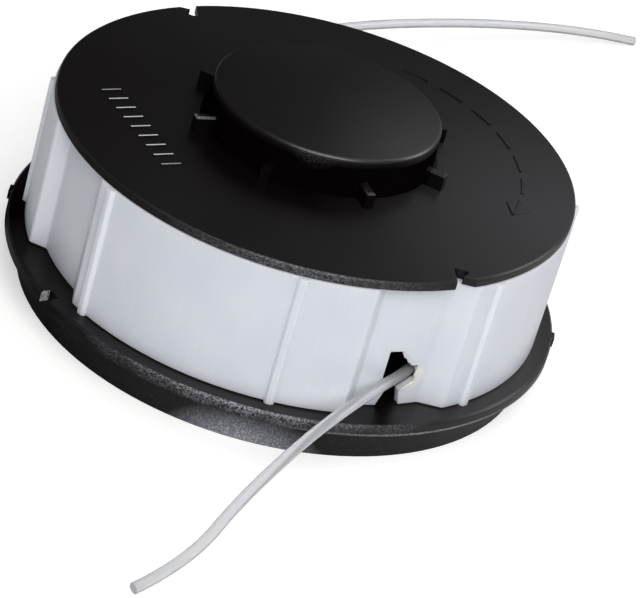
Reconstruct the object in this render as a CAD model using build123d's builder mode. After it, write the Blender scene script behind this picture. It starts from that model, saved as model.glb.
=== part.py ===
from build123d import *
from math import acos, cos, radians, sin, sqrt, tan
import os

os.makedirs("parts", exist_ok=True)

# Trimmer line spool, standing on its skirt with the knob up, in millimetres.
# An azimuth is counted from the front (-Y) towards the right (+X).

# Line
line_d = 1.65
floor_clear = 0.05

# Reel: upper and lower flanges with the channel between them
flange_r = 40.0
flange_t = 1.3
flange_edge = 0.25
rim_lip = 3.0
rim_r = flange_r + rim_lip
rim_t = 1.8
rim_edge = 0.35
channel_h = 21.2

# Reel: skirt below the lower flange
skirt_h = 5.7
skirt_t = 1.8
skirt_inset = 2.9
skirt_draft = 0.4
skirt_r = rim_r - skirt_inset
skirt_in_r = skirt_r - skirt_t
rim_low = skirt_h
rim_top = rim_low + rim_t
flange_low = rim_top + channel_h
flange_top = flange_low + flange_t

# Reel: hub with its socket, open below and closed by the knob
socket_r = 15.4
hub_t = 2.6
hub_r = socket_r + hub_t
hub_lift = 1.2

# Reel: knob
knob_t = 2.3
knob_draft = 0.3
knob_base_r = socket_r + knob_t
knob_top_r = knob_base_r - knob_draft
knob_h = 6.1
knob_crown = 0.9
knob_edge = 0.2
cap_t = 2.4
knob_shoulder = flange_top + knob_h
knob_top = knob_shoulder + knob_crown
cap_low = knob_top - cap_t
crown_ball_r = (knob_top_r**2 + knob_crown**2) / (2 * knob_crown)

# Reel: index lugs round the foot of the knob and, half a pitch on, round the hub below
lug_count = 8
lug_az = 29.0
lug_reach = 2.9
lug_w = 1.4
lug_h = 2.6
lug_edge = 0.3
lug_root = 0.6

# Reel: notches that park the line ends in the upper flange, a hook hole with a flared mouth
notch_az = 40.6
notch_depth = 3.25
notch_hook_left = 0.2
notch_hook_right = 1.8
notch_hook_l = 1.5
notch_throat = 0.5
notch_throat_depth = 1.2
notch_mouth_right = 2.3
notch_mouth_left = -1.35

# Reel: slots in the rim, an opposite pair
slot_az = -46.5
slot_w = 2.4
slot_depth = 1.5

# Reel: trimmed gate marks on the rim, an opposite pair
gate_az = -87.5
gate_w = 1.9
gate_proud = 0.35
gate_root = 1.0
gate_inset = 0.15

# Band: a thin sleeve with four pockets
band_proud = 0.3
band_r = flange_r + band_proud
band_t = 1.2
band_foot = 0.2
band_head_clear = 0.1
band_low = rim_top + band_foot
band_top = flange_low - band_head_clear
pocket_depth = 2.3
pocket_r = band_r - pocket_depth
pocket_step = 21.5
pocket_floor_start = 24.0
pocket_floor_end = 40.5
pocket_ridge = 45.0
pocket_turns = [-87.5, 0.0, 92.5, 180.0]
pocket_edge = 0.2

# Band: ribs with feet
rib_count = 8
rib_az = 6.0
rib_w = 1.5
rib_proud = 0.6
rib_root = 0.8
rib_edge = 0.35

# Band: keyholes, each a slot from the lower edge with a narrow throat, a prong and a seat for the line
key_az = 34.0
key_left = -2.8
key_mouth_right = 1.1
key_throat_left = -1.8
key_throat_h = 2.7
key_waist_h = 4.9
key_top_h = 9.3
key_top_right = -0.9
key_shoulder = 1.4
key_seat_right = 2.6
key_seat_top = 7.0
key_seat_low = 3.9
key_prong_left = 0.5
key_prong_h = 2.4
key_line_clear = 0.2

# Winding: the turns of line on the hub, as one ring
wind_depth = 9.0
wind_r = hub_r + wind_depth
wind_gap = 0.4
wind_low = rim_top + wind_gap
wind_top = flange_low - wind_gap

# Free ends of the line: from the winding, through a keyhole, down to the floor
lay_clear = 0.02
lay_r = wind_r + line_d / 2 + lay_clear
floor_z = line_d / 2 + floor_clear
leave_az = 81.3
leave_z = 14.5
guide = (27.0, -19.7, 12.6)
past_key = (19.7, -34.1, 12.6)
front_run = [
    (10.94, -51.38, 12.6),
    (0.18, -77.5, 3.5),
    (-5.55, -82.65, floor_z),
]
back_run = [
    (-13.8, 68.0, 13.0),
    (33.2, 123.0, 4.0),
    (50.9, 132.6, floor_z),
]


def bearing(azimuth):
    """Angle from +X for an azimuth counted from the front."""
    return azimuth - 90.0


def polar(radius, azimuth, height=0.0):
    """Point at a radius and an azimuth."""
    a = radians(azimuth)
    return (radius * sin(a), -radius * cos(a), height)


def half_turned(point):
    """Point carried half a turn round the spool's axis."""
    return (-point[0], -point[1], point[2])


def bend_radii(points):
    """Bend radius at each inner point of a route of straight runs."""
    radii = []
    for before, here, after in zip(points[:-2], points[1:-1], points[2:]):
        run_in = Vector(*here) - Vector(*before)
        run_out = Vector(*after) - Vector(*here)
        turn = acos(max(-1.0, min(1.0, run_in.normalized().dot(run_out.normalized()))))
        radii.append(0.45 * min(run_in.length, run_out.length) / tan(turn / 2))
    return radii


# Reel: one turned section, then lugs, notches, rim slots and gate marks
with BuildPart() as reel:
    with BuildSketch(Plane.XZ) as section:
        with BuildLine():
            wall = Polyline(
                (0, cap_low),
                (socket_r, cap_low),
                (socket_r, hub_lift),
                (hub_r, hub_lift),
                (hub_r, rim_low),
                (skirt_in_r, rim_low),
                (skirt_in_r, 0),
                (skirt_r, 0),
                (skirt_r + skirt_draft, rim_low),
                (rim_r, rim_low),
                (rim_r, rim_top),
                (hub_r, rim_top),
                (hub_r, flange_low),
                (flange_r, flange_low),
                (flange_r, flange_top),
                (knob_base_r, flange_top),
                (knob_top_r, knob_shoulder),
            )
            crown_r = knob_top_r / 2
            crown_z = knob_top - crown_ball_r + sqrt(crown_ball_r**2 - crown_r**2)
            ThreePointArc(wall @ 1, (crown_r, crown_z), (0, knob_top))
            Line((0, knob_top), (0, cap_low))
        make_face()
        for corner, bevel in [
            ((rim_r, rim_top), rim_edge),
            ((flange_r, flange_top), flange_edge),
            ((knob_top_r, knob_shoulder), knob_edge),
        ]:
            chamfer(section.vertices().sort_by_distance(corner)[0], bevel)
    revolve(axis=Axis.Z)

    # Upper lugs, on the flange
    upper_in = knob_top_r - lug_root
    upper_out = knob_base_r + lug_reach
    with BuildSketch(Plane.XY.offset(flange_top - flange_t / 2)):
        with PolarLocations((upper_in + upper_out) / 2, lug_count, start_angle=bearing(lug_az)):
            Rectangle(upper_out - upper_in, lug_w)
    extrude(amount=lug_h + flange_t / 2)
    lug_tops = reel.faces().filter_by(Axis.Z).sort_by(Axis.Z)[-lug_count:]
    chamfer(lug_tops.edges().filter_by(GeomType.LINE), lug_edge)

    # Lower lugs, under the lower flange
    lower_in = hub_r - lug_root
    lower_out = hub_r + lug_reach
    lower_az = lug_az + 180.0 / lug_count
    with BuildSketch(Plane.XY.offset(rim_low - lug_h)):
        with PolarLocations((lower_in + lower_out) / 2, lug_count, start_angle=bearing(lower_az)):
            Rectangle(lower_out - lower_in, lug_w)
    extrude(amount=lug_h + rim_t / 2)

    # Notches: the hook lies to one side of the throat, and the mouth slants open both ways
    hook_in = flange_r - notch_depth
    hook_out = hook_in + notch_hook_l
    throat_out = flange_r - notch_throat_depth
    beyond = flange_r + notch_throat_depth
    beyond_right = 2 * notch_mouth_right - notch_throat
    beyond_left = notch_mouth_left + (notch_mouth_left - notch_hook_left) * notch_throat_depth / notch_depth
    with BuildSketch(Plane.XY.offset(flange_low - flange_t)):
        with PolarLocations(0, 2, start_angle=bearing(notch_az)):
            Polygon(
                (hook_in, notch_hook_left),
                (hook_in, (notch_hook_left + notch_hook_right) / 2),
                ((hook_in + hook_out) / 2, notch_hook_right),
                (hook_out, notch_hook_right),
                (throat_out, notch_throat),
                (beyond, beyond_right),
                (beyond, beyond_left),
                align=None,
            )
    extrude(amount=3 * flange_t, mode=Mode.SUBTRACT)

    # Rim slots
    with BuildSketch(Plane.XY.offset(rim_low)):
        with PolarLocations(rim_r, 2, start_angle=bearing(slot_az)):
            Rectangle(2 * slot_depth, slot_w)
    extrude(amount=rim_t, mode=Mode.SUBTRACT)

    # Gate marks
    with BuildSketch(Plane.XY.offset(rim_low + gate_inset)):
        with PolarLocations(rim_r + (gate_proud - gate_root) / 2, 2, start_angle=bearing(gate_az)):
            Rectangle(gate_proud + gate_root, gate_w)
    extrude(amount=rim_t - 2 * gate_inset)
reel.part.label = "reel"

# Band: pocketed outline, thinned to a wall, then ribs with feet and the keyholes
with BuildPart() as band:
    with BuildSketch(Plane.XY.offset(band_low)) as plan:
        with BuildLine():
            for turn, following in zip(pocket_turns, pocket_turns[1:] + [pocket_turns[0] + 360.0]):
                step = turn + pocket_step
                start = turn + pocket_floor_start
                end = turn + pocket_floor_end
                ridge = turn + pocket_ridge
                next_step = following + pocket_step
                floor_mid = polar(pocket_r, (start + end) / 2)
                panel_mid = polar(band_r, (ridge + next_step) / 2)
                Line(polar(band_r, step), polar(pocket_r, start))
                ThreePointArc(polar(pocket_r, start), floor_mid, polar(pocket_r, end))
                Line(polar(pocket_r, end), polar(band_r, ridge))
                ThreePointArc(polar(band_r, ridge), panel_mid, polar(band_r, next_step))
        make_face()
        hollow = offset(plan.sketch, amount=-band_t, kind=Kind.INTERSECTION, mode=Mode.PRIVATE)
        chamfer(plan.vertices(), pocket_edge)
        add(hollow, mode=Mode.SUBTRACT)
    extrude(amount=band_top - band_low)

    # Ribs, standing on the lower flange by their feet
    with BuildSketch(Plane.XY.offset(rim_top)) as ribs:
        with PolarLocations(band_r + (rib_proud - rib_root) / 2, rib_count, start_angle=bearing(rib_az)):
            Rectangle(rib_proud + rib_root, rib_w)
        chamfer(ribs.vertices(), rib_edge)
    extrude(amount=band_top - rim_top)

    # Keyholes in two opposite pockets, each cleared along the line that leaves through it
    key_below = band_low - band_foot
    for azimuth, inner, outer in [
        (key_az, guide, past_key),
        (key_az + 180.0, half_turned(guide), half_turned(past_key)),
    ]:
        out = Vector(*polar(1.0, azimuth))
        across = Vector(*polar(1.0, azimuth + 90.0))
        with BuildSketch(Plane(origin=out * (band_r + rib_proud), x_dir=across, z_dir=out)):
            Polygon(
                (key_left, key_below),
                (key_throat_left, band_low + key_throat_h),
                (key_left, band_low + key_waist_h),
                (key_left, band_low + key_top_h),
                (key_top_right, band_low + key_top_h),
                (key_shoulder, band_low + key_seat_top),
                (key_seat_right, band_low + key_seat_top),
                (key_seat_right, band_low + key_seat_low),
                (key_prong_left, band_low + key_prong_h),
                (key_mouth_right, key_below),
                align=None,
            )
        extrude(amount=-(rib_proud + pocket_depth + 3 * band_t), mode=Mode.SUBTRACT)
        leg = Vector(*outer) - Vector(*inner)
        with BuildSketch(Plane(origin=Vector(*inner) + leg / 4, z_dir=leg)):
            Circle(line_d / 2 + key_line_clear)
        extrude(amount=leg.length, mode=Mode.SUBTRACT)
band.part.label = "band"

# Winding: a ring round the hub
with BuildPart() as winding:
    with BuildSketch(Plane.XY.offset(wind_low)):
        Circle(wind_r)
        Circle(hub_r, mode=Mode.SUBTRACT)
    extrude(amount=wind_top - wind_low)
winding.part.label = "winding"

# Free ends of the line, each a bent length with cut ends
leave = polar(lay_r, leave_az, leave_z)
front_route = [leave, guide] + front_run
back_route = [half_turned(p) for p in (leave, guide, past_key)] + back_run

front_radii = bend_radii(front_route)
with BuildPart() as line_end_front:
    with BuildLine() as front_path:
        FilletPolyline(*front_route, radius=front_radii)
    with BuildSketch(Plane(origin=front_path.line @ 0, z_dir=front_path.line % 0)):
        Circle(line_d / 2)
    sweep(path=front_path.line)
line_end_front.part.label = "line_end_front"

back_radii = bend_radii(back_route)
with BuildPart() as line_end_back:
    with BuildLine() as back_path:
        FilletPolyline(*back_route, radius=back_radii)
    with BuildSketch(Plane(origin=back_path.line @ 0, z_dir=back_path.line % 0)):
        Circle(line_d / 2)
    sweep(path=back_path.line)
line_end_back.part.label = "line_end_back"

front_length = sum(edge.length for edge in front_path.edges())
back_length = sum(edge.length for edge in back_path.edges())
print("front bend radii", [round(r, 1) for r in front_radii], "length", round(front_length, 1))
print("back bend radii", [round(r, 1) for r in back_radii], "length", round(back_length, 1))

export_step(reel.part, "parts/reel.step")
export_step(band.part, "parts/band.step")
export_step(winding.part, "parts/winding.step")
export_step(line_end_front.part, "parts/line_end_front.step")
export_step(line_end_back.part, "parts/line_end_back.step")
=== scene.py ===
"""Trimmer line spool: finishes, line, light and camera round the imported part.

The frame is in metres with +Z up. Sizes below are in millimetres, unless a comment says
otherwise. An azimuth is counted from the front (-Y) towards the right (+X), in degrees.
"""

import logging
import math
import random
from dataclasses import dataclass
from enum import Enum
from typing import Any, Sequence

import bpy
from mathutils import Matrix, Vector


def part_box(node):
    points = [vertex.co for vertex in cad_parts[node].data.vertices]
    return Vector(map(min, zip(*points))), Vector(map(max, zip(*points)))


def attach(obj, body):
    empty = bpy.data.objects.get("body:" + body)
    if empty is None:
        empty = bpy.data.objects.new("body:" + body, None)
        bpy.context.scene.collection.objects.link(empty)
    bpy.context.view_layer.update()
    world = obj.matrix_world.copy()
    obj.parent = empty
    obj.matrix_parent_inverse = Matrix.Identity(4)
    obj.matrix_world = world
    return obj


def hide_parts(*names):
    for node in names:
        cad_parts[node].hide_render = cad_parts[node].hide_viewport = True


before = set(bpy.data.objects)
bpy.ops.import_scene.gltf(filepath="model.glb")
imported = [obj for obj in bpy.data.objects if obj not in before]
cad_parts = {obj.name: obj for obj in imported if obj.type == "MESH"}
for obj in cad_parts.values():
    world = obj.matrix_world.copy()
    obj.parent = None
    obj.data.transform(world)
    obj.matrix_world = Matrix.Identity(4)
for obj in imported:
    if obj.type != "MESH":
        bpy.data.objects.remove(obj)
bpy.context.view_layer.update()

Tree = bpy.types.NodeTree
Socket = bpy.types.NodeSocket

LOG = logging.getLogger("spool")
MM = 0.001
BODY = "root"
BEVEL_SAMPLES = 6

# Kinds of shader node that come up often
MATH = "ShaderNodeMath"
VECTOR_MATH = "ShaderNodeVectorMath"
MAP_RANGE = "ShaderNodeMapRange"
NOISE = "ShaderNodeTexNoise"
MIX = "ShaderNodeMix"

# Where the line bears on the band in its two keyholes: radius, azimuth and height
SEATS = ((38.0, 36.6, 12.4), (38.0, 216.6, 12.4))


class Node(Enum):
    """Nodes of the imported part."""

    REEL = "reel"
    BAND = "band"
    WINDING = "winding"
    FRONT_END = "line_end_front"
    BACK_END = "line_end_back"


class Slot(Enum):
    """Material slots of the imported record."""

    REEL = "reel_nylon"
    BAND = "band_polyethylene"
    LINE = "line_nylon"


class Join(Enum):
    """Ways to join several amounts into one."""

    OVERLAP = "MULTIPLY"
    STRONGEST = "MAXIMUM"
    NEAREST = "MINIMUM"
    SUM = "ADD"


def linear(code: str) -> tuple[float, float, float, float]:
    """Turn an sRGB hex colour into linear light.

    Args:
        code: Colour such as "#1c1a1b".

    Returns:
        Red, green, blue and an alpha of one.
    """
    channels = [int(code[i : i + 2], 16) / 255.0 for i in (1, 3, 5)]
    light = [c / 12.92 if c <= 0.04045 else ((c + 0.055) / 1.055) ** 2.4 for c in channels]
    return (light[0], light[1], light[2], 1.0)


def per_metre(size: float) -> float:
    """Scale of a pattern whose features are this many millimetres across."""
    return 1.0 / (size * MM)


def polar(radius: float, azimuth: float, height: float = 0.0) -> Vector:
    """Point at a radius, an azimuth and a height, all in the part's own units."""
    a = math.radians(azimuth)
    return Vector((radius * math.sin(a), -radius * math.cos(a), height))


def add_node(
    tree: Tree, kind: str, inputs: dict[Any, Any] | None = None, **settings: Any
) -> bpy.types.Node:
    """Add a shader node, set it up and wire its inputs.

    Args:
        tree: Node tree that takes the node.
        kind: Blender's type name of the node.
        inputs: Socket name or number, with a value or an output socket to link from.
        **settings: Attributes of the node itself.

    Returns:
        The new node.
    """
    node = tree.nodes.new(kind)
    for name, value in settings.items():
        setattr(node, name, value)
    for key, value in (inputs or {}).items():
        if isinstance(value, Socket):
            tree.links.new(value, node.inputs[key])
        else:
            node.inputs[key].default_value = value
    return node


@dataclass(frozen=True)
class Ramp:
    """How a value leads to an amount: two values, and the amount at each."""

    start: float
    end: float
    first: float = 0.0
    last: float = 1.0

    def inputs(self, value: Socket, unit: float = 1.0) -> dict[str, Any]:
        """Lead a value along the ramp.

        Args:
            value: Output that gives the value.
            unit: Length that the ramp's own values are counted in, where they are lengths.

        Returns:
            The inputs of a range node.
        """
        return {
            "Value": value,
            "From Min": self.start * unit,
            "From Max": self.end * unit,
            "To Min": self.first,
            "To Max": self.last,
        }


@dataclass(frozen=True)
class Zone:
    """A stretch of heights or radii: its middle, and half its width."""

    middle: float
    half: float

    def inputs(self, value: Socket) -> dict[int, Any]:
        """Inputs of a comparing node, which gives one inside the zone."""
        return {0: value, 1: self.middle * MM, 2: self.half * MM}


@dataclass(frozen=True)
class Grain:
    """A random pattern: how large its features are, and how often they break up finer."""

    size: float
    detail: float

    def inputs(self, coords: Socket) -> dict[str, Any]:
        """Inputs of a noise node that draws the pattern."""
        return {"Vector": coords, "Scale": per_metre(self.size), "Detail": self.detail}


@dataclass(frozen=True)
class Spot:
    """A spot of painted highlight or of changed gloss: its radius, azimuth and height, how far it
    reaches, and its strength.
    """

    place: tuple[float, float, float]
    reach: float
    strength: float
    core: float = 0.1

    def fade(self) -> Ramp:
        """Strength by the distance from the middle, full over the spot's core."""
        return Ramp(self.core * self.reach, self.reach, self.strength, 0.0)


def join(tree: Tree, way: Join, first: Socket, *others: Socket) -> Socket:
    """Join several amounts into one.

    Args:
        tree: Node tree of the material.
        way: How each amount is joined to those before it.
        first: Output that gives the first amount.
        *others: Outputs that give the others.

    Returns:
        The output that gives the joined amount.
    """
    joined = first
    for amount in others:
        joined = add_node(tree, MATH, {0: joined, 1: amount}, operation=way.value).outputs[0]
    return joined


def spread(tree: Tree, coords: Socket, spots: Sequence[Spot]) -> Socket:
    """Tell how strongly some spots show at a place.

    Args:
        tree: Node tree of the material.
        coords: Output that gives the place on the part.
        spots: The spots, the strongest of which counts.

    Returns:
        The output that gives the strength.
    """
    shown = []
    for spot in spots:
        middle = polar(*spot.place) * MM
        away = add_node(tree, VECTOR_MATH, {0: coords, 1: middle}, operation="DISTANCE")
        fade = spot.fade().inputs(away.outputs["Value"], MM)
        shown.append(add_node(tree, MAP_RANGE, fade).outputs[0])
    return join(tree, Join.STRONGEST, *shown)


def seat_distance(tree: Tree, coords: Socket) -> Socket:
    """Tell how far it is to the nearer place where the line bears on the band.

    Args:
        tree: Node tree of the material.
        coords: Output that gives the place on the part.

    Returns:
        The output that gives the distance.
    """
    distances = []
    for seat in SEATS:
        middle = polar(*seat) * MM
        away = add_node(tree, VECTOR_MATH, {0: coords, 1: middle}, operation="DISTANCE")
        distances.append(away.outputs["Value"])
    return join(tree, Join.NEAREST, *distances)


def paint(tree: Tree, ground: str, coats: Sequence[tuple[Socket, str]]) -> Socket:
    """Lay tints over a ground colour, each by its own amount.

    Args:
        tree: Node tree of the material.
        ground: Colour under the tints, in sRGB hex.
        coats: Amount and sRGB hex colour of each tint, the lowest first.

    Returns:
        The output that gives the painted colour.
    """
    tint: Any = linear(ground)
    for amount, colour in coats:
        # Sockets 6, 7 and 2 are the colours that a mix takes and gives
        coat = add_node(tree, MIX, {0: amount, 6: tint, 7: linear(colour)}, data_type="RGBA")
        tint = coat.outputs[2]
    return tint


@dataclass(frozen=True)
class Surface:
    """Outputs that tell where a point of a surface lies and how it faces.

    The distance to the right is in across. The share of the normal that points up is in
    up, and without its sign in level. How squarely the surface faces away from the part's
    axis, or towards it, is in square_on.
    """

    coords: Socket
    across: Socket
    height: Socket
    radius: Socket
    up: Socket
    level: Socket
    square_on: Socket

    @classmethod
    def read(cls, tree: Tree) -> "Surface":
        """Add the nodes that read a surface.

        Args:
            tree: Node tree of the material.

        Returns:
            Their outputs.
        """
        place = add_node(tree, "ShaderNodeTexCoord")
        coords, normal = place.outputs["Object"], place.outputs["Normal"]
        spot = add_node(tree, "ShaderNodeSeparateXYZ", {"Vector": coords})
        facing = add_node(tree, "ShaderNodeSeparateXYZ", {"Vector": normal})
        up = facing.outputs["Z"]
        level = add_node(tree, MATH, {0: up}, operation="ABSOLUTE")
        flattened = {0: coords, 1: (1.0, 1.0, 0.0)}
        plan = add_node(tree, VECTOR_MATH, flattened, operation="MULTIPLY").outputs["Vector"]
        radius = add_node(tree, VECTOR_MATH, {0: plan}, operation="LENGTH")
        outward = add_node(tree, VECTOR_MATH, {0: plan}, operation="NORMALIZE").outputs["Vector"]
        turned = add_node(tree, VECTOR_MATH, {0: normal, 1: outward}, operation="DOT_PRODUCT")
        square_on = add_node(tree, MATH, {0: turned.outputs["Value"]}, operation="ABSOLUTE")
        return cls(
            coords,
            across=spot.outputs["X"],
            height=spot.outputs["Z"],
            radius=radius.outputs["Value"],
            up=up,
            level=level.outputs[0],
            square_on=square_on.outputs[0],
        )


@dataclass(frozen=True)
class Finish:
    """A real material, with what every finish of the part shares."""

    name: str
    ior: float
    relief: float

    def material(self) -> bpy.types.Material:
        """Make the material once and hand out the same one after that.

        Returns:
            The Blender material.
        """
        made = bpy.data.materials.get(self.name)
        if made:
            return made
        made = bpy.data.materials.new(self.name)
        made.use_nodes = True
        tree = made.node_tree
        tree.nodes.clear()
        shader = add_node(tree, "ShaderNodeBsdfPrincipled", {"IOR": self.ior})
        add_node(tree, "ShaderNodeOutputMaterial", {"Surface": shader.outputs["BSDF"]})
        self.dress(tree, shader)
        return made

    def dress(self, tree: Tree, shader: bpy.types.Node) -> None:
        """Wire the finish's own pattern into its shader."""
        raise NotImplementedError

    def emboss(
        self, tree: Tree, shader: bpy.types.Node, height: Socket, normal: Socket | None = None
    ) -> None:
        """Wire the finish's relief into the shader.

        Args:
            tree: Node tree of the material.
            shader: Its Principled shader.
            height: Output that gives the height, as a share of the relief.
            normal: Output that gives the normal under it, where that isn't the surface's own.
        """
        inputs = {"Strength": 1.0, "Distance": self.relief * MM, "Height": height}
        if normal is not None:
            inputs["Normal"] = normal
        bump = add_node(tree, "ShaderNodeBump", inputs)
        tree.links.new(bump.outputs["Normal"], shader.inputs["Normal"])

    def put_on(self, piece: bpy.types.Object) -> None:
        """Give a piece this finish in place of any other."""
        piece.data.materials.clear()
        piece.data.materials.append(self.material())


@dataclass(frozen=True)
class NylonMasks:
    """Outputs that several parts of the nylon's look share."""

    face: Surface
    wall: Socket
    outer: Socket
    gritty: Socket
    edge: Socket
    cloud: Socket
    grit: Socket
    satin: Socket
    marks: Socket
    mark: Socket


@dataclass(frozen=True)
class SparkErodedNylon(Finish):
    """Black nylon moulded in a spark-eroded tool.

    Flats come out satin and nearly black, and the knob's wall matt. The outer walls keep
    the tool's grit, which breaks a lamp into grey sparkle. Edges are rubbed paler. Paler
    tints paint highlights on the front of the knob, flange, rim and skirt, on the right of
    the flange, along the rim's lower edge, on the slots' faces, and on the crests of the
    signs and the lugs' edges.
    """

    name: str = "black_nylon_spark_eroded"
    ior: float = 1.5
    relief: float = 0.06

    # Tints: the reel's own, and paler ones that paint highlights
    deep: str = "#070303"
    pale: str = "#0b0506"
    flange_highlight: str = "#302f32"
    speck: str = "#29282c"
    rubbed: str = "#302f33"
    painted_highlight: str = "#c0c4ce"
    rim_edge_highlight: str = "#8c8b90"
    slot_highlight: str = "#a6a6aa"
    dust: str = "#4a494c"
    glint: str = "#d8d8dc"

    # Patterns. Real grit is about 0.1 across, too fine for the picture, so it is drawn coarser
    cloud: Grain = Grain(14.0, 3.0)
    grit: Grain = Grain(0.34, 2.0)
    satin: Grain = Grain(0.17, 1.0)
    marks: Grain = Grain(0.28, 4.0)
    dust_pitch: float = 6.0
    dust_r: float = 0.12

    # How much of a pattern shows, by the pattern's own value
    mark_shown: Ramp = Ramp(0.4, 0.74)
    peak_shown: Ramp = Ramp(0.56, 0.78)
    slot_highlight_shown: Ramp = Ramp(0.36, 0.6)
    highlight_grain: Ramp = Ramp(0.0, 1.0, 0.3, 0.95)
    glint_grain: Ramp = Ramp(0.0, 1.0, 0.45, 1.0)
    lug_glint: float = 0.2

    # How a face lies, by the upward share of its normal or by its turn from the axis
    wall_slope: Ramp = Ramp(0.35, 0.65, 1.0, 0.0)
    upright_slope: Ramp = Ramp(0.75, 0.9, 1.0, 0.0)
    flat_slope: float = 0.9
    edge_slope: float = 0.707
    edge_spread: Ramp = Ramp(0.08, 0.2, 1.0, 0.0)
    sideways_turn: Ramp = Ramp(0.4, 0.7, 1.0, 0.0)

    # Places on the reel, by radius (r), height (z) or distance to the right (x)
    outer_r: Ramp = Ramp(30.0, 38.0)
    # Radius of the slots' faces, which get a painted highlight
    slot_face_r: Zone = Zone(42.1, 0.92)
    rim_low_r: float = 42.2
    rim_low_z: Zone = Zone(5.75, 0.3)
    crest_z: Zone = Zone(30.2, 0.05)
    lug_edge_z: Zone = Zone(32.45, 0.2)
    knob_wall_r: float = 18.3
    knob_edge_r: Zone = Zone(17.3, 0.35)
    knob_foot_z: float = 29.9
    knob_matt_z: Ramp = Ramp(34.6, 35.6, 1.0, 0.0)
    crown_from_z: float = 35.0
    dull_x: Ramp = Ramp(-30.0, -6.0, 0.9, 0.0)

    # Gloss and fine relief, from satin flats to gritty or matt walls
    sheen: Ramp = Ramp(0.0, 1.0, 0.35, 0.0)
    roughness: Ramp = Ramp(0.0, 1.0, 0.33, 0.44)
    unevenness: Ramp = Ramp(0.0, 1.0, -0.06, 0.06)
    satin_height: Ramp = Ramp(0.0, 1.0, 0.0, 0.06)
    edge_radius: float = 0.25

    # Painted highlights on the knob, the front of the flange, and along the front of the rim
    highlight_spots: tuple[Spot, ...] = (
        Spot((17.4, 2.0, 38.2), 4.8, 0.16),
        Spot((40.0, 5.0, 29.4), 22.0, 0.3),
        Spot((44.5, -26.0, 17.0), 11.8, 1.0),
        Spot((44.5, -17.0, 17.0), 11.8, 2.3),
        Spot((44.5, -8.0, 17.0), 11.8, 3.4),
        Spot((44.5, 1.0, 17.0), 11.8, 4.1),
        Spot((44.5, 10.0, 17.0), 11.8, 3.4),
        Spot((44.5, 20.0, 17.0), 11.8, 1.7),
        Spot((44.5, 31.0, 17.0), 11.8, 1.0),
    )
    # A painted highlight on the front of the skirt
    glare_spots: tuple[Spot, ...] = (Spot((40.4, 3.0, -9.0), 15.0, 2.4),)
    # A painted highlight along the rim's lower edge, on the right
    rim_highlight_spots: tuple[Spot, ...] = (Spot((43.0, 42.0, 5.7), 30.0, 1.2),)
    # Painted glints on the crests of the signs and on the lugs' edges
    glints: tuple[Spot, ...] = (
        Spot((28.5, -61.4, 30.2), 13.0, 4.0),
        Spot((19.8, -16.0, 32.4), 3.0, 0.5),
        Spot((20.6, 29.0, 32.4), 2.0, 0.5),
    )
    # A painted highlight on the right of the flange
    flange_highlight_spots: tuple[Spot, ...] = (Spot((38.0, 85.0, 31.0), 40.0, 1.0),)
    # Spots where the gloss is duller, and where the knob's edge is polished
    dulls: tuple[Spot, ...] = (Spot((43.0, -80.0, 4.0), 46.0, 1.0),)
    thumbs: tuple[Spot, ...] = (Spot((17.3, 28.0, 36.0), 30.0, 0.6),)

    def masks(self, tree: Tree) -> NylonMasks:
        """Find the walls, the edges and the patterns.

        Args:
            tree: Node tree of the material.

        Returns:
            The outputs that tell of them.
        """
        face = Surface.read(tree)
        wall = add_node(tree, MAP_RANGE, self.wall_slope.inputs(face.level)).outputs[0]
        outer = add_node(tree, MAP_RANGE, self.outer_r.inputs(face.radius, MM)).outputs[0]
        slant = add_node(tree, MATH, {0: face.level, 1: self.edge_slope}, operation="SUBTRACT")
        off_slant = add_node(tree, MATH, {0: slant.outputs[0]}, operation="ABSOLUTE").outputs[0]
        cloud, grit, satin, marks = (
            add_node(tree, NOISE, grain.inputs(face.coords)).outputs["Fac"]
            for grain in (self.cloud, self.grit, self.satin, self.marks)
        )
        return NylonMasks(
            face,
            wall,
            outer,
            gritty=join(tree, Join.OVERLAP, wall, outer),
            edge=add_node(tree, MAP_RANGE, self.edge_spread.inputs(off_slant)).outputs[0],
            cloud=cloud,
            grit=grit,
            satin=satin,
            marks=marks,
            mark=add_node(tree, MAP_RANGE, self.mark_shown.inputs(marks)).outputs[0],
        )

    def glinting(self, tree: Tree, seen: NylonMasks) -> Socket:
        """Find where glints are painted: on the crests of the raised signs and, more weakly, on
        the lugs' edges.

        Args:
            tree: Node tree of the material.
            seen: The masks and patterns.

        Returns:
            The output that tells how bright they are.
        """
        face = seen.face
        at_crest, at_lug = (
            add_node(tree, MATH, zone.inputs(face.height), operation="COMPARE").outputs[0]
            for zone in (self.crest_z, self.lug_edge_z)
        )
        flat = add_node(tree, MATH, {0: face.up, 1: self.flat_slope}, operation="GREATER_THAN")
        crest = join(tree, Join.OVERLAP, at_crest, flat.outputs[0])
        lug_edge = join(tree, Join.OVERLAP, at_lug, seen.edge)
        both = {0: lug_edge, 1: self.lug_glint, 2: crest}
        return add_node(tree, MATH, both, operation="MULTIPLY_ADD").outputs[0]

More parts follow.
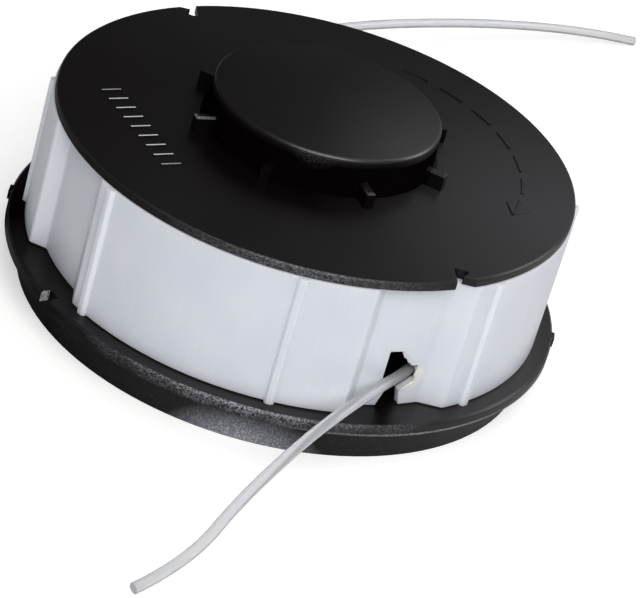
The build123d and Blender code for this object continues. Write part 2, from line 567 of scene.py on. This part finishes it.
    def coats(self, tree: Tree, seen: NylonMasks) -> list[tuple[Socket, str]]:
        """List the tints that lie over the black.

        Args:
            tree: Node tree of the material.
            seen: The masks and patterns.

        Returns:
            Amount and colour of each tint, the lowest first.
        """
        face = seen.face
        # Spreads of the painted highlights, of which rubbed is the one along the rim's lower edge,
        # and of the glints
        lit_flange, painted_highlight, glare, rubbed, shown = (
            spread(tree, face.coords, spots)
            for spots in (self.flange_highlight_spots, self.highlight_spots, self.glare_spots, self.rim_highlight_spots, self.glints)
        )
        peaks, upright, sideways, slot_grain, soft, broken = (
            add_node(tree, MAP_RANGE, ramp.inputs(value)).outputs[0]
            for ramp, value in (
                (self.peak_shown, seen.grit),
                (self.upright_slope, face.level),
                (self.sideways_turn, face.square_on),
                (self.slot_highlight_shown, seen.marks),
                (self.highlight_grain, seen.mark),
                (self.glint_grain, seen.mark),
            )
        )
        at_rim, low_edge = (
            add_node(tree, MATH, zone.inputs(value), operation="COMPARE").outputs[0]
            for zone, value in ((self.slot_face_r, face.radius), (self.rim_low_z, face.height))
        )
        rim = {0: face.radius, 1: self.rim_low_r * MM}
        far_out = add_node(tree, MATH, rim, operation="GREATER_THAN").outputs[0]
        pitch = {"Vector": face.coords, "Scale": per_metre(self.dust_pitch)}
        grains = add_node(tree, "ShaderNodeTexVoronoi", pitch)
        grain = {0: grains.outputs["Distance"], 1: self.dust_r / self.dust_pitch}
        settled = add_node(tree, MATH, grain, operation="LESS_THAN").outputs[0]
        # Mottling, grit specks, rubbed edges and dust are the nylon's own; the paler tints on the
        # flange's right, the front of the reel, the skirt, the rim's lower edge, the slots' faces,
        # the signs' crests and the lugs' edges paint highlights
        layers = (
            ((seen.cloud,), self.pale),
            ((lit_flange, face.up), self.flange_highlight),
            ((peaks, seen.gritty), self.speck),
            ((seen.edge, seen.outer, seen.cloud), self.rubbed),
            ((painted_highlight, upright, seen.mark), self.painted_highlight),
            ((glare, upright, soft), self.painted_highlight),
            ((low_edge, far_out, rubbed, soft), self.rim_edge_highlight),
            ((sideways, at_rim, seen.wall, slot_grain), self.slot_highlight),
            ((settled, face.up), self.dust),
            ((self.glinting(tree, seen), broken, shown), self.glint),
        )
        return [(join(tree, Join.OVERLAP, *masks), colour) for masks, colour in layers]

    def mirroring(self, tree: Tree, seen: NylonMasks) -> Socket:
        """Tell how strongly a place mirrors the lamps.

        The knob's wall leaves the tool matt, so it stays black. Thumbs polish the edge over
        it, and one side of the reel is dull.

        Args:
            tree: Node tree of the material.
            seen: The masks and patterns.

        Returns:
            The output that gives the specular level.
        """
        face = seen.face
        over_foot, over_wall = (
            add_node(tree, MATH, {0: face.height, 1: z * MM}, operation="GREATER_THAN").outputs[0]
            for z in (self.knob_foot_z, self.knob_matt_z.end)
        )
        knob = {0: face.radius, 1: self.knob_wall_r * MM}
        inside = add_node(tree, MATH, knob, operation="LESS_THAN").outputs[0]
        below = add_node(tree, MAP_RANGE, self.knob_matt_z.inputs(face.height, MM)).outputs[0]
        matt = join(tree, Join.OVERLAP, inside, over_foot, below)
        plain = add_node(tree, MAP_RANGE, self.sheen.inputs(matt)).outputs[0]

        at_edge = add_node(tree, MATH, self.knob_edge_r.inputs(face.radius), operation="COMPARE")
        thumbs = spread(tree, face.coords, self.thumbs)
        polish = join(tree, Join.OVERLAP, over_wall, at_edge.outputs[0], thumbs)

        to_left = add_node(tree, MAP_RANGE, self.dull_x.inputs(face.across, MM)).outputs[0]
        dull_wall = join(tree, Join.OVERLAP, seen.gritty, to_left)
        dull = join(tree, Join.STRONGEST, spread(tree, face.coords, self.dulls), dull_wall)
        kept = add_node(tree, MATH, {0: 1.0, 1: dull}, operation="SUBTRACT").outputs[0]
        return join(tree, Join.OVERLAP, join(tree, Join.SUM, polish, plain), kept)

    def dress(self, tree: Tree, shader: bpy.types.Node) -> None:
        """Wire tints, gloss and relief into the shader.

        Args:
            tree: Node tree of the material.
            shader: Its Principled shader.
        """
        seen = self.masks(tree)
        tint = paint(tree, self.deep, self.coats(tree, seen))
        tree.links.new(tint, shader.inputs["Base Color"])

        # The plain level stays where the linked one can't be kept
        shader.inputs["Specular IOR Level"].default_value = self.sheen.first
        tree.links.new(self.mirroring(tree, seen), shader.inputs["Specular IOR Level"])
        dull, uneven, fine = (
            add_node(tree, MAP_RANGE, ramp.inputs(value)).outputs[0]
            for ramp, value in (
                (self.roughness, seen.gritty),
                (self.unevenness, seen.cloud),
                (self.satin_height, seen.satin),
            )
        )
        tree.links.new(join(tree, Join.SUM, dull, uneven), shader.inputs["Roughness"])

        # Grit on outer walls, a fine satin elsewhere, and open edges eased. Sockets 2 and 3
        # are the plain values that a mix takes
        grit = add_node(tree, MIX, {0: seen.gritty, 2: fine, 3: seen.grit}, data_type="FLOAT")
        top = {0: seen.face.height, 1: self.crown_from_z * MM}
        at_crown = add_node(tree, MATH, top, operation="GREATER_THAN").outputs[0]
        open_edge = join(tree, Join.STRONGEST, at_crown, seen.outer)
        easing = Ramp(0.0, 1.0, 0.0, self.edge_radius * MM).inputs(open_edge)
        radius = add_node(tree, MAP_RANGE, easing).outputs[0]
        eased = add_node(tree, "ShaderNodeBevel", {"Radius": radius}, samples=BEVEL_SAMPLES)
        self.emboss(tree, shader, grit.outputs[0], eased.outputs["Normal"])


@dataclass(frozen=True)
class MouldedPolyethylene(Finish):
    """Natural polyethylene, moulded thin.

    It is milky and lets light in, with a soft waxy gloss. Upright scuff marks show as paler
    streaks, a paler tint on thin edges and on the steps of the pockets paints the light that
    comes through them and lifts their shade, and the wall turns chalky where the line has
    strained it.
    """

    name: str = "natural_polyethylene_moulded"
    ior: float = 1.51
    relief: float = 0.012

    # Tints
    milk: str = "#d0d5e0"
    cream: str = "#e4e6ee"
    streak: str = "#f1f2f4"
    chalk: str = "#f8f5ee"
    painted_edge_light: str = "#f2f4fc"

    # Patterns, and how much of the streaks shows
    cloud: Grain = Grain(10.0, 2.0)
    crumpled: Grain = Grain(0.7, 3.0)
    skin: Grain = Grain(0.6, 1.0)
    streak_width: float = 0.35
    streak_length: float = 9.0
    streak_detail: float = 2.0
    streak_shown: Ramp = Ramp(0.58, 0.8, 0.0, 0.22)

    # Strain by the distance from the line, and painted light by how alike or square on faces are
    strain_reach: Ramp = Ramp(1.2, 2.6, 2.0, 0.0)
    edge_reach: float = 0.35
    edge_shown: Ramp = Ramp(0.9, 0.99, 0.5, 0.0)
    step_shown: Ramp = Ramp(0.65, 0.85, 0.4, 0.0)
    light_share: float = 0.6
    light_reach: tuple[float, float, float] = (1.0, 1.0, 1.1)
    light_depth: float = 1.6

    # Gloss and relief
    roughness: Ramp = Ramp(0.0, 1.0, 0.36, 0.6)
    skin_height: Ramp = Ramp(0.0, 1.0, 0.0, 0.3)
    strain_height: float = 6.0

    def painted_light_mask(self, tree: Tree, face: Surface) -> Socket:
        """Find thin edges and the steps of the pockets, where a paler tint paints the light that
        passes through them and lifts their shade.

        Args:
            tree: Node tree of the material.
            face: Where the surface lies and how it faces.

        Returns:
            The output that tells how much light shows there.
        """
        sharp = add_node(tree, "ShaderNodeNewGeometry")
        reach = {"Radius": self.edge_reach * MM}
        eased = add_node(tree, "ShaderNodeBevel", reach, samples=BEVEL_SAMPLES)
        normals = {0: eased.outputs["Normal"], 1: sharp.outputs["Normal"]}
        alike = add_node(tree, VECTOR_MATH, normals, operation="DOT_PRODUCT").outputs["Value"]
        edge = add_node(tree, MAP_RANGE, self.edge_shown.inputs(alike)).outputs[0]
        step = add_node(tree, MAP_RANGE, self.step_shown.inputs(face.square_on)).outputs[0]
        return join(tree, Join.STRONGEST, edge, step)

    def dress(self, tree: Tree, shader: bpy.types.Node) -> None:
        """Wire milkiness, streaks, strained places and lit edges into the shader.

        Args:
            tree: Node tree of the material.
            shader: Its Principled shader.
        """
        face = Surface.read(tree)
        cloud, crumpled, skin = (
            add_node(tree, NOISE, grain.inputs(face.coords)).outputs["Fac"]
            for grain in (self.cloud, self.crumpled, self.skin)
        )
        across = per_metre(self.streak_width)
        stretch = (across, across, per_metre(self.streak_length))
        upright = add_node(tree, "ShaderNodeMapping", {"Vector": face.coords, "Scale": stretch})
        drawn = {"Vector": upright.outputs["Vector"], "Scale": 1.0, "Detail": self.streak_detail}
        streaks = add_node(tree, NOISE, drawn).outputs["Fac"]
        streak = add_node(tree, MAP_RANGE, self.streak_shown.inputs(streaks)).outputs[0]

        # Chalky strain round the two places where the line bears on the wall
        near = self.strain_reach.inputs(seat_distance(tree, face.coords), MM)
        strained = {0: add_node(tree, MAP_RANGE, near).outputs[0], 1: crumpled}
        strain = add_node(tree, MATH, strained, operation="MULTIPLY", use_clamp=True).outputs[0]
        # The last coat paints light on thin edges and on the pockets' steps, lifting their shade
        coats = (
            (cloud, self.cream),
            (streak, self.streak),
            (strain, self.chalk),
            (self.painted_light_mask(tree, face), self.painted_edge_light),
        )
        tree.links.new(paint(tree, self.milk, coats), shader.inputs["Base Color"])
        shader.inputs["Subsurface Weight"].default_value = self.light_share
        shader.inputs["Subsurface Radius"].default_value = self.light_reach
        shader.inputs["Subsurface Scale"].default_value = self.light_depth * MM
        gloss = add_node(tree, MAP_RANGE, self.roughness.inputs(streak))
        tree.links.new(gloss.outputs[0], shader.inputs["Roughness"])

        # A waxy skin, streaks and crumpled strain
        waxy = add_node(tree, MAP_RANGE, self.skin_height.inputs(skin)).outputs[0]
        scored = join(tree, Join.SUM, waxy, streak)
        raised = {0: strain, 1: self.strain_height, 2: scored}
        height = add_node(tree, MATH, raised, operation="MULTIPLY_ADD")
        self.emboss(tree, shader, height.outputs[0])


@dataclass(frozen=True)
class DrawnMonofilament(Finish):
    """Nylon monofilament, drawn through a die.

    It is cloudy and lets the background through, so its middle takes that tone while its
    sides stay bright. Its skin is smooth with a low gloss, and a darker tint paints shade on
    it in the keyholes.
    """

    name: str = "clear_nylon_monofilament"
    ior: float = 1.53
    relief: float = 0.006
    cloudy: str = "#dcdee2"
    bright: str = "#e8eaec"
    # Painted shade on the line in the keyholes
    keyhole_shade: str = "#6d747e"
    cloud: Grain = Grain(2.6, 2.0)
    skin: Grain = Grain(0.5, 2.0)
    shade_reach: Ramp = Ramp(1.5, 6.5, 0.5, 0.0)
    clearness: float = 0.65
    light_share: float = 0.15
    light_reach: tuple[float, float, float] = (1.0, 1.0, 1.0)
    light_depth: float = 0.6
    roughness: Ramp = Ramp(0.0, 1.0, 0.16, 0.3)

    def dress(self, tree: Tree, shader: bpy.types.Node) -> None:
        """Wire cloudiness, painted shade in the keyholes and a faint skin into the shader.

        Args:
            tree: Node tree of the material.
            shader: Its Principled shader.
        """
        coords = add_node(tree, "ShaderNodeTexCoord").outputs["Object"]
        cloud, skin = (
            add_node(tree, NOISE, grain.inputs(coords)).outputs["Fac"]
            for grain in (self.cloud, self.skin)
        )
        # Painted shade on the line near where it bears on the band
        rubbed = self.shade_reach.inputs(seat_distance(tree, coords), MM)
        painted_shade = add_node(tree, MAP_RANGE, rubbed).outputs[0]
        tint = paint(tree, self.cloudy, ((cloud, self.bright), (painted_shade, self.keyhole_shade)))
        tree.links.new(tint, shader.inputs["Base Color"])
        shader.inputs["Transmission Weight"].default_value = self.clearness
        shader.inputs["Subsurface Weight"].default_value = self.light_share
        shader.inputs["Subsurface Radius"].default_value = self.light_reach
        shader.inputs["Subsurface Scale"].default_value = self.light_depth * MM
        gloss = add_node(tree, MAP_RANGE, self.roughness.inputs(cloud))
        tree.links.new(gloss.outputs[0], shader.inputs["Roughness"])
        self.emboss(tree, shader, skin)


class MeshDraft:
    """Points in millimetres and faces, gathered before they become one object."""

    def __init__(self) -> None:
        """Start with nothing drawn."""
        self.points: list[Vector] = []
        self.faces: list[tuple[int, ...]] = []

    def loft(self, rings: Sequence[Sequence[Vector]], closed: bool = False) -> None:
        """Join rings of points by four-sided faces.

        Args:
            rings: Rings with as many points each, in order.
            closed: Whether the last ring meets the first, or both ends get a cap.
        """
        first = len(self.points)
        count = len(rings[0])
        for ring in rings:
            self.points.extend(ring)
        spans = len(rings) if closed else len(rings) - 1
        for i in range(spans):
            here = first + i * count
            there = first + (i + 1) % len(rings) * count
            for j in range(count):
                k = (j + 1) % count
                self.faces.append((here + j, here + k, there + k, there + j))
        if not closed:
            last = first + (len(rings) - 1) * count
            self.faces.append(tuple(first + j for j in reversed(range(count))))
            self.faces.append(tuple(last + j for j in range(count)))

    def piece(
        self, name: str, slot: Slot, finish: Finish, smooth_below: float = 40.0
    ) -> bpy.types.Object:
        """Turn the draft into a piece of the spool.

        Args:
            name: The piece's name.
            slot: Material slot of the record that it belongs to. Not used.
            finish: What it is made of.
            smooth_below: Angle under which two faces are shaded as one, in degrees.

        Returns:
            The piece, riding on the spool.
        """
        mesh = bpy.data.meshes.new(name)
        mesh.from_pydata([p * MM for p in self.points], [], self.faces)
        mesh.validate()
        mesh.polygons.foreach_set("use_smooth", [True] * len(mesh.polygons))
        mesh.set_sharp_from_angle(angle=math.radians(smooth_below))
        piece = bpy.data.objects.new(name, mesh)
        bpy.context.scene.collection.objects.link(piece)
        finish.put_on(piece)
        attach(piece, BODY)
        return piece


@dataclass
class Reel:
    """The black reel, with the raised signs on its upper flange."""

    finish: SparkErodedNylon
    flange_top: float = 30.0
    stroke: float = 0.6
    stroke_crest: float = 0.26
    sign_height: float = 0.2
    sign_root: float = 0.06
    arrow_r: float = 31.6
    arrow_start: float = 167.0
    arrow_end: float = 78.0
    dash_count: int = 7
    dash_share: float = 0.66
    dash_steps: int = 6
    aim_share: float = 0.125
    head_reach: float = 3.2
    head_half_angle: float = 34.0
    bar_count: int = 9
    bar_length: float = 3.2
    row_start: tuple[float, float] = (-31.4, -5.2)
    row_end: tuple[float, float] = (-18.9, -22.1)

    def dress(self) -> bpy.types.Object:
        """Put the finish on the moulded reel.

        Returns:
            The reel's node.
        """
        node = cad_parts[Node.REEL.value]
        self.finish.put_on(node)
        return node

    def ridge(self, draft: MeshDraft, path: Sequence[Vector]) -> None:
        """Draw one raised stroke with sloping sides along a path on the flange.

        Args:
            draft: Draft that takes the stroke.
            path: Points of its middle line, with no height.
        """
        rings = []
        for i, point in enumerate(path):
            ahead = path[min(i + 1, len(path) - 1)] - path[max(i - 1, 0)]
            side = Vector((-ahead.y, ahead.x, 0.0)).normalized()
            low = Vector((0.0, 0.0, self.flange_top - self.sign_root))
            high = Vector((0.0, 0.0, self.flange_top + self.sign_height))
            foot = side * (self.stroke / 2)
            crest = side * (self.stroke_crest / 2)
            under, over = point + low, point + high
            rings.append([under - foot, under + foot, over + crest, over - crest])
        draft.loft(rings)

    def arrow(self) -> bpy.types.Object:
        """Raise a dashed arrow that shows the winding direction.

        Returns:
            The arrow.
        """
        draft = MeshDraft()
        pitch = (self.arrow_end - self.arrow_start) / self.dash_count
        for k in range(self.dash_count):
            end = self.arrow_end - (self.dash_count - 1 - k) * pitch
            start = end - self.dash_share * pitch
            count = self.dash_steps
            steps = [start + (end - start) * i / count for i in range(count + 1)]
            self.ridge(draft, [polar(self.arrow_r, azimuth) for azimuth in steps])
        tip = polar(self.arrow_r, self.arrow_end)
        beyond = polar(self.arrow_r, self.arrow_end + pitch * self.aim_share)
        onward = (beyond - tip).normalized()
        for turn in (-self.head_half_angle, self.head_half_angle):
            barb = Matrix.Rotation(math.radians(180.0 + turn), 3, "Z") @ onward
            self.ridge(draft, [tip + onward * (self.stroke / 2), tip + barb * self.head_reach])
        return draft.piece("winding_arrow", Slot.REEL, self.finish)

    def bars(self) -> bpy.types.Object:
        """Raise a row of plain bars beside the knob.

        Returns:
            The row of bars.
        """
        draft = MeshDraft()
        start = Vector((*self.row_start, 0.0))
        end = Vector((*self.row_end, 0.0))
        along = (end - start).normalized()
        upright = Vector((-along.y, along.x, 0.0)) * (self.bar_length / 2)
        for k in range(self.bar_count):
            middle = start.lerp(end, k / (self.bar_count - 1))
            self.ridge(draft, [middle - upright, middle + upright])
        return draft.piece("tally_bars", Slot.REEL, self.finish)


@dataclass
class Band:
    """The white band, with the lips that the line has raised at its keyholes."""

    finish: MouldedPolyethylene
    wall_r: float = 38.0
    keyhole_azimuths: tuple[float, float] = (34.0, 214.0)
    lip_corners: tuple[tuple[float, float], ...] = (
        (-0.9, 17.0),
        (1.4, 14.7),
        (2.6, 14.7),
        (2.6, 11.6),
        (0.5, 10.1),
    )
    lip_step: float = 0.22
    lip_r: float = 0.24
    lip_wander: float = 0.06
    lip_sides: int = 8
    lip_fade_steps: int = 4
    lip_smooth_below: float = 60.0
    seed: int = 5

    def dress(self) -> bpy.types.Object:
        """Put the finish on the moulded band.

        Returns:
            The band's node.
        """
        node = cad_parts[Node.BAND.value]
        self.finish.put_on(node)
        return node

    def on_wall(self, azimuth: float, across: float, height: float) -> Vector:
        """Find a point on the pocket's floor beside a keyhole.

        Args:
            azimuth: The keyhole's azimuth.
            across: Distance to the right of its middle.
            height: Height over the base.

        Returns:
            The point.
        """
        depth = math.sqrt(self.wall_r**2 - across**2)
        return polar(depth, azimuth) + polar(across, azimuth + 90.0, height)

    def lip(self, azimuth: float, name: str) -> bpy.types.Object:
        """Raise the crumpled lip along the seat of one keyhole.

        Args:
            azimuth: The keyhole's azimuth.
            name: The piece's name.

        Returns:
            The lip.
        """
        chance = random.Random(self.seed)
        path: list[tuple[float, float]] = []
        for (x0, z0), (x1, z1) in zip(self.lip_corners, self.lip_corners[1:]):
            steps = max(2, round(math.hypot(x1 - x0, z1 - z0) / self.lip_step))
            for i in range(steps):
                path.append((x0 + (x1 - x0) * i / steps, z0 + (z1 - z0) * i / steps))
        path.append(self.lip_corners[-1])
        rings = []
        out = polar(1.0, azimuth)
        for i, (across, height) in enumerate(path):
            fade = min(1.0, (i + 1) / self.lip_fade_steps, (len(path) - i) / self.lip_fade_steps)
            size = fade * (self.lip_r + chance.uniform(-self.lip_wander, self.lip_wander))
            wander = chance.uniform(-self.lip_wander, self.lip_wander)
            middle = self.on_wall(azimuth, across + wander, height + wander)
            ahead = path[min(i + 1, len(path) - 1)]
            behind = path[max(i - 1, 0)]
            run = polar(ahead[0] - behind[0], azimuth + 90.0, ahead[1] - behind[1])
            side = run.normalized().cross(out)
            turns = [2.0 * math.pi * j / self.lip_sides for j in range(self.lip_sides)]
            spokes = [out * math.cos(turn) + side * math.sin(turn) for turn in turns]
            rings.append([middle + spoke * size for spoke in spokes])
        draft = MeshDraft()
        draft.loft(rings)
        return draft.piece(name, Slot.BAND, self.finish, self.lip_smooth_below)

    def lips(self) -> list[bpy.types.Object]:
        """Raise the lips of both keyholes.

        Returns:
            The two lips.
        """
        names = ("seat_lip_front", "seat_lip_back")
        return [self.lip(azimuth, name) for azimuth, name in zip(self.keyhole_azimuths, names)]


@dataclass
class Winding:
    """The line wound on the hub, turn beside turn."""

    finish: DrawnMonofilament
    line_d: float = 1.65
    hub_r: float = 18.0
    arc_steps: int = 6
    round_steps: int = 128
    smooth_below: float = 50.0

    def build(self) -> bpy.types.Object:
        """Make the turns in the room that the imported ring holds.

        Returns:
            The wound line.
        """
        low, high = (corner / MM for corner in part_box(Node.WINDING.value))
        turns = round((high.z - low.z) / self.line_d)
        pitch = (high.z - low.z) / turns
        section = [(self.hub_r, low.z)]
        for k in range(turns):
            for i in range(self.arc_steps + 1):
                a = math.pi * i / self.arc_steps
                bulge = high.x - pitch / 2 + pitch / 2 * math.sin(a)
                section.append((bulge, low.z + (k + 0.5) * pitch - pitch / 2 * math.cos(a)))
        section.append((self.hub_r, high.z))
        rings = []
        for step in range(self.round_steps):
            azimuth = 360.0 * step / self.round_steps
            rings.append([polar(radius, azimuth, height) for radius, height in section])
        draft = MeshDraft()
        draft.loft(rings, closed=True)
        piece = draft.piece("wound_line", Slot.LINE, self.finish, self.smooth_below)
        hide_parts(Node.WINDING.value)
        return piece


@dataclass
class LineTail:
    """A free end of the line, from the winding through a keyhole to the floor.

    Its route, length and diameter are in metres.
    """

    name: str
    node: Node
    finish: DrawnMonofilament
    route: tuple[tuple[float, float, float], ...]
    length: float
    diameter: float = 0.00165
    round_steps: int = 6
    run_steps: int = 24
    order: int = 3

    def build(self) -> bpy.types.Object:
        """Lay the tail as one smooth curve along its route.

        Returns:
            The tail.
        """
        curve = bpy.data.curves.new(self.name, "CURVE")
        curve.dimensions = "3D"
        curve.bevel_depth = self.diameter / 2
        curve.bevel_resolution = self.round_steps
        curve.resolution_u = self.run_steps
        curve.use_fill_caps = True
        spline = curve.splines.new("NURBS")
        spline.points.add(len(self.route) - 1)
        for point, place in zip(spline.points, self.route):
            point.co = (*place, 1.0)
        spline.order_u = self.order
        spline.use_endpoint_u = True
        piece = bpy.data.objects.new(self.name, curve)
        bpy.context.scene.collection.objects.link(piece)
        self.finish.put_on(piece)
        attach(piece, BODY)
        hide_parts(self.node.value)
        return piece


@dataclass(frozen=True)
class PhotoCamera:
    """The photograph's point of view, over a frame of 640 by 598 pixels."""

    eye: tuple[float, float, float] = (7.063, -400.174, 235.021)
    pitch_down: float = 30.118
    roll: float = -16.515
    lens: float = 168.75
    sensor_width: float = 36.0
    nearest: float = 10.0

    def place(self) -> bpy.types.Object:
        """Set the camera up and make it the scene's own.

        Returns:
            The camera.
        """
        pitch = math.radians(self.pitch_down)
        roll = math.radians(self.roll)
        ahead = Vector((0.0, math.cos(pitch), -math.sin(pitch)))
        level = Vector((1.0, 0.0, 0.0))
        sunk = ahead.cross(level)
        right = math.cos(roll) * level + math.sin(roll) * sunk
        down = -math.sin(roll) * level + math.cos(roll) * sunk
        turn = Matrix((right, -down, -ahead)).transposed()
        data = bpy.data.cameras.new("photo_camera")
        data.lens = self.lens
        data.sensor_width = self.sensor_width
        data.clip_start = self.nearest * MM
        camera = bpy.data.objects.new("photo_camera", data)
        camera.matrix_world = Matrix.Translation(Vector(self.eye) * MM) @ turn.to_4x4()
        bpy.context.scene.collection.objects.link(camera)
        bpy.context.scene.camera = camera
        return camera


@dataclass(frozen=True)
class Softbox:
    """A soft rectangular lamp, aimed at a point."""

    name: str
    place: tuple[float, float, float]
    aim: tuple[float, float, float]
    size: tuple[float, float]
    watts: float

    def hang(self) -> bpy.types.Object:
        """Hang the lamp.

        Returns:
            The lamp.
        """
        data = bpy.data.lights.new(self.name, "AREA")
        data.shape = "RECTANGLE"
        data.size = self.size[0] * MM
        data.size_y = self.size[1] * MM
        data.energy = self.watts
        lamp = bpy.data.objects.new(self.name, data)
        lamp.location = Vector(self.place) * MM
        beam = Vector(self.aim) - Vector(self.place)
        lamp.rotation_euler = beam.to_track_quat("-Z", "Y").to_euler()
        lamp.visible_camera = False
        bpy.context.scene.collection.objects.link(lamp)
        return lamp


@dataclass(frozen=True)
class Studio:
    """A pale paper floor, soft lamps and an even room."""

    floor_half: float = 4000.0
    paper: str = "#e6e6e4"
    paper_glow: float = 0.47
    room: str = "#f4f6fa"
    room_level: float = 0.1
    softboxes: tuple[Softbox, ...] = (
        Softbox("key_softbox", (150.0, -675.0, 594.0), (0.0, 0.0, 15.0), (800.0, 600.0), 7.0),
        Softbox("side_strip", (492.0, 229.0, 270.0), (0.0, 0.0, 30.0), (260.0, 160.0), 0.6),
        Softbox("back_right_panel", (440.0, 665.0, 720.0), (0.0, 0.0, 25.0), (800.0, 420.0), 1.75),
        Softbox("top_softbox", (0.0, -60.0, 900.0), (0.0, 0.0, 15.0), (800.0, 800.0), 1.3),
    )

    def floor(self) -> bpy.types.Object:
        """Lay the floor, which the camera sees as white with a soft shadow.

        Returns:
            The floor.
        """
        half = self.floor_half * MM
        mesh = bpy.data.meshes.new("paper_floor")
        corners = [(-half, -half, 0.0), (half, -half, 0.0), (half, half, 0.0), (-half, half, 0.0)]
        mesh.from_pydata(corners, [], [(0, 1, 2, 3)])
        floor = bpy.data.objects.new("paper_floor", mesh)
        bpy.context.scene.collection.objects.link(floor)
        paper = bpy.data.materials.new("studio_paper")
        paper.use_nodes = True
        tree = paper.node_tree
        tree.nodes.clear()
        rays = add_node(tree, "ShaderNodeLightPath")
        direct, through = rays.outputs["Is Camera Ray"], rays.outputs["Is Transmission Ray"]
        shown = join(tree, Join.STRONGEST, direct, through)
        matt = add_node(tree, "ShaderNodeBsdfDiffuse", {"Color": linear(self.paper)})
        glow = add_node(tree, "ShaderNodeEmission", {"Strength": self.paper_glow})
        lit = add_node(tree, "ShaderNodeAddShader", {0: matt.outputs[0], 1: glow.outputs[0]})
        ways = {0: shown, 1: matt.outputs[0], 2: lit.outputs[0]}
        top = add_node(tree, "ShaderNodeMixShader", ways)

        # From below, the floor is clear
        below = add_node(tree, "ShaderNodeNewGeometry").outputs["Backfacing"]
        clear = add_node(tree, "ShaderNodeBsdfTransparent")
        sides = {0: below, 1: top.outputs[0], 2: clear.outputs[0]}
        sheet = add_node(tree, "ShaderNodeMixShader", sides)
        add_node(tree, "ShaderNodeOutputMaterial", {"Surface": sheet.outputs[0]})
        mesh.materials.append(paper)
        return floor

    def walls(self) -> None:
        """Light the room evenly and dimly, and white where the camera looks."""
        world = bpy.data.worlds.new("studio_room")
        bpy.context.scene.world = world
        world.use_nodes = True
        tree = world.node_tree
        tree.nodes.clear()
        rays = add_node(tree, "ShaderNodeLightPath")
        levels = {0: rays.outputs["Is Camera Ray"], 1: self.room_level}
        strength = add_node(tree, MATH, levels, operation="MAXIMUM").outputs[0]
        light = {"Color": linear(self.room), "Strength": strength}
        glow = add_node(tree, "ShaderNodeBackground", light)
        add_node(tree, "ShaderNodeOutputWorld", {"Surface": glow.outputs[0]})

    def build(self) -> None:
        """Lay the floor, light the room, hang the lamps and set plain viewing."""
        self.floor()
        self.walls()
        for softbox in self.softboxes:
            softbox.hang()
        bpy.context.scene.view_settings.view_transform = "Standard"


# Control points and lengths of the two tails, in metres, from the winding to the cut end
FRONT_LENGTH = 0.0880
BACK_LENGTH = 0.1576
FRONT_ROUTE = (
    (0.027525, -0.004212, 0.0145),
    (0.0270, -0.0197, 0.0126),
    (0.01386, -0.04562, 0.0126),
    (0.00478, -0.06345, 0.0070),
    (0.00029, -0.0759, 0.0026),
    (-0.00555, -0.08265, 0.000875),
)
BACK_ROUTE = (
    (-0.027525, 0.004212, 0.0145),
    (-0.0270, 0.0197, 0.0126),
    (-0.0197, 0.0341, 0.0126),
    (-0.0138, 0.0680, 0.0130),
    (0.0332, 0.1230, 0.0040),
    (0.0509, 0.1326, 0.000875),
)


def main() -> None:
    """Build the camera, the line, the reel, the band and the studio, in that order."""
    logging.basicConfig(level=logging.INFO, format="%(name)s: %(message)s")
    nylon = SparkErodedNylon()
    polyethylene = MouldedPolyethylene()
    monofilament = DrawnMonofilament()
    pieces = [PhotoCamera().place()]
    for name, node, route, length in (
        ("front_line_tail", Node.FRONT_END, FRONT_ROUTE, FRONT_LENGTH),
        ("back_line_tail", Node.BACK_END, BACK_ROUTE, BACK_LENGTH),
    ):
        pieces.append(LineTail(name, node, monofilament, route, length).build())
    pieces.append(Winding(monofilament).build())
    reel = Reel(nylon)
    pieces.extend([reel.dress(), reel.arrow(), reel.bars()])
    band = Band(polyethylene)
    pieces.extend([band.dress(), *band.lips()])
    Studio().build()
    for piece in pieces:
        LOG.info("made %s", piece.name)


if __name__ == "__main__":
    main()
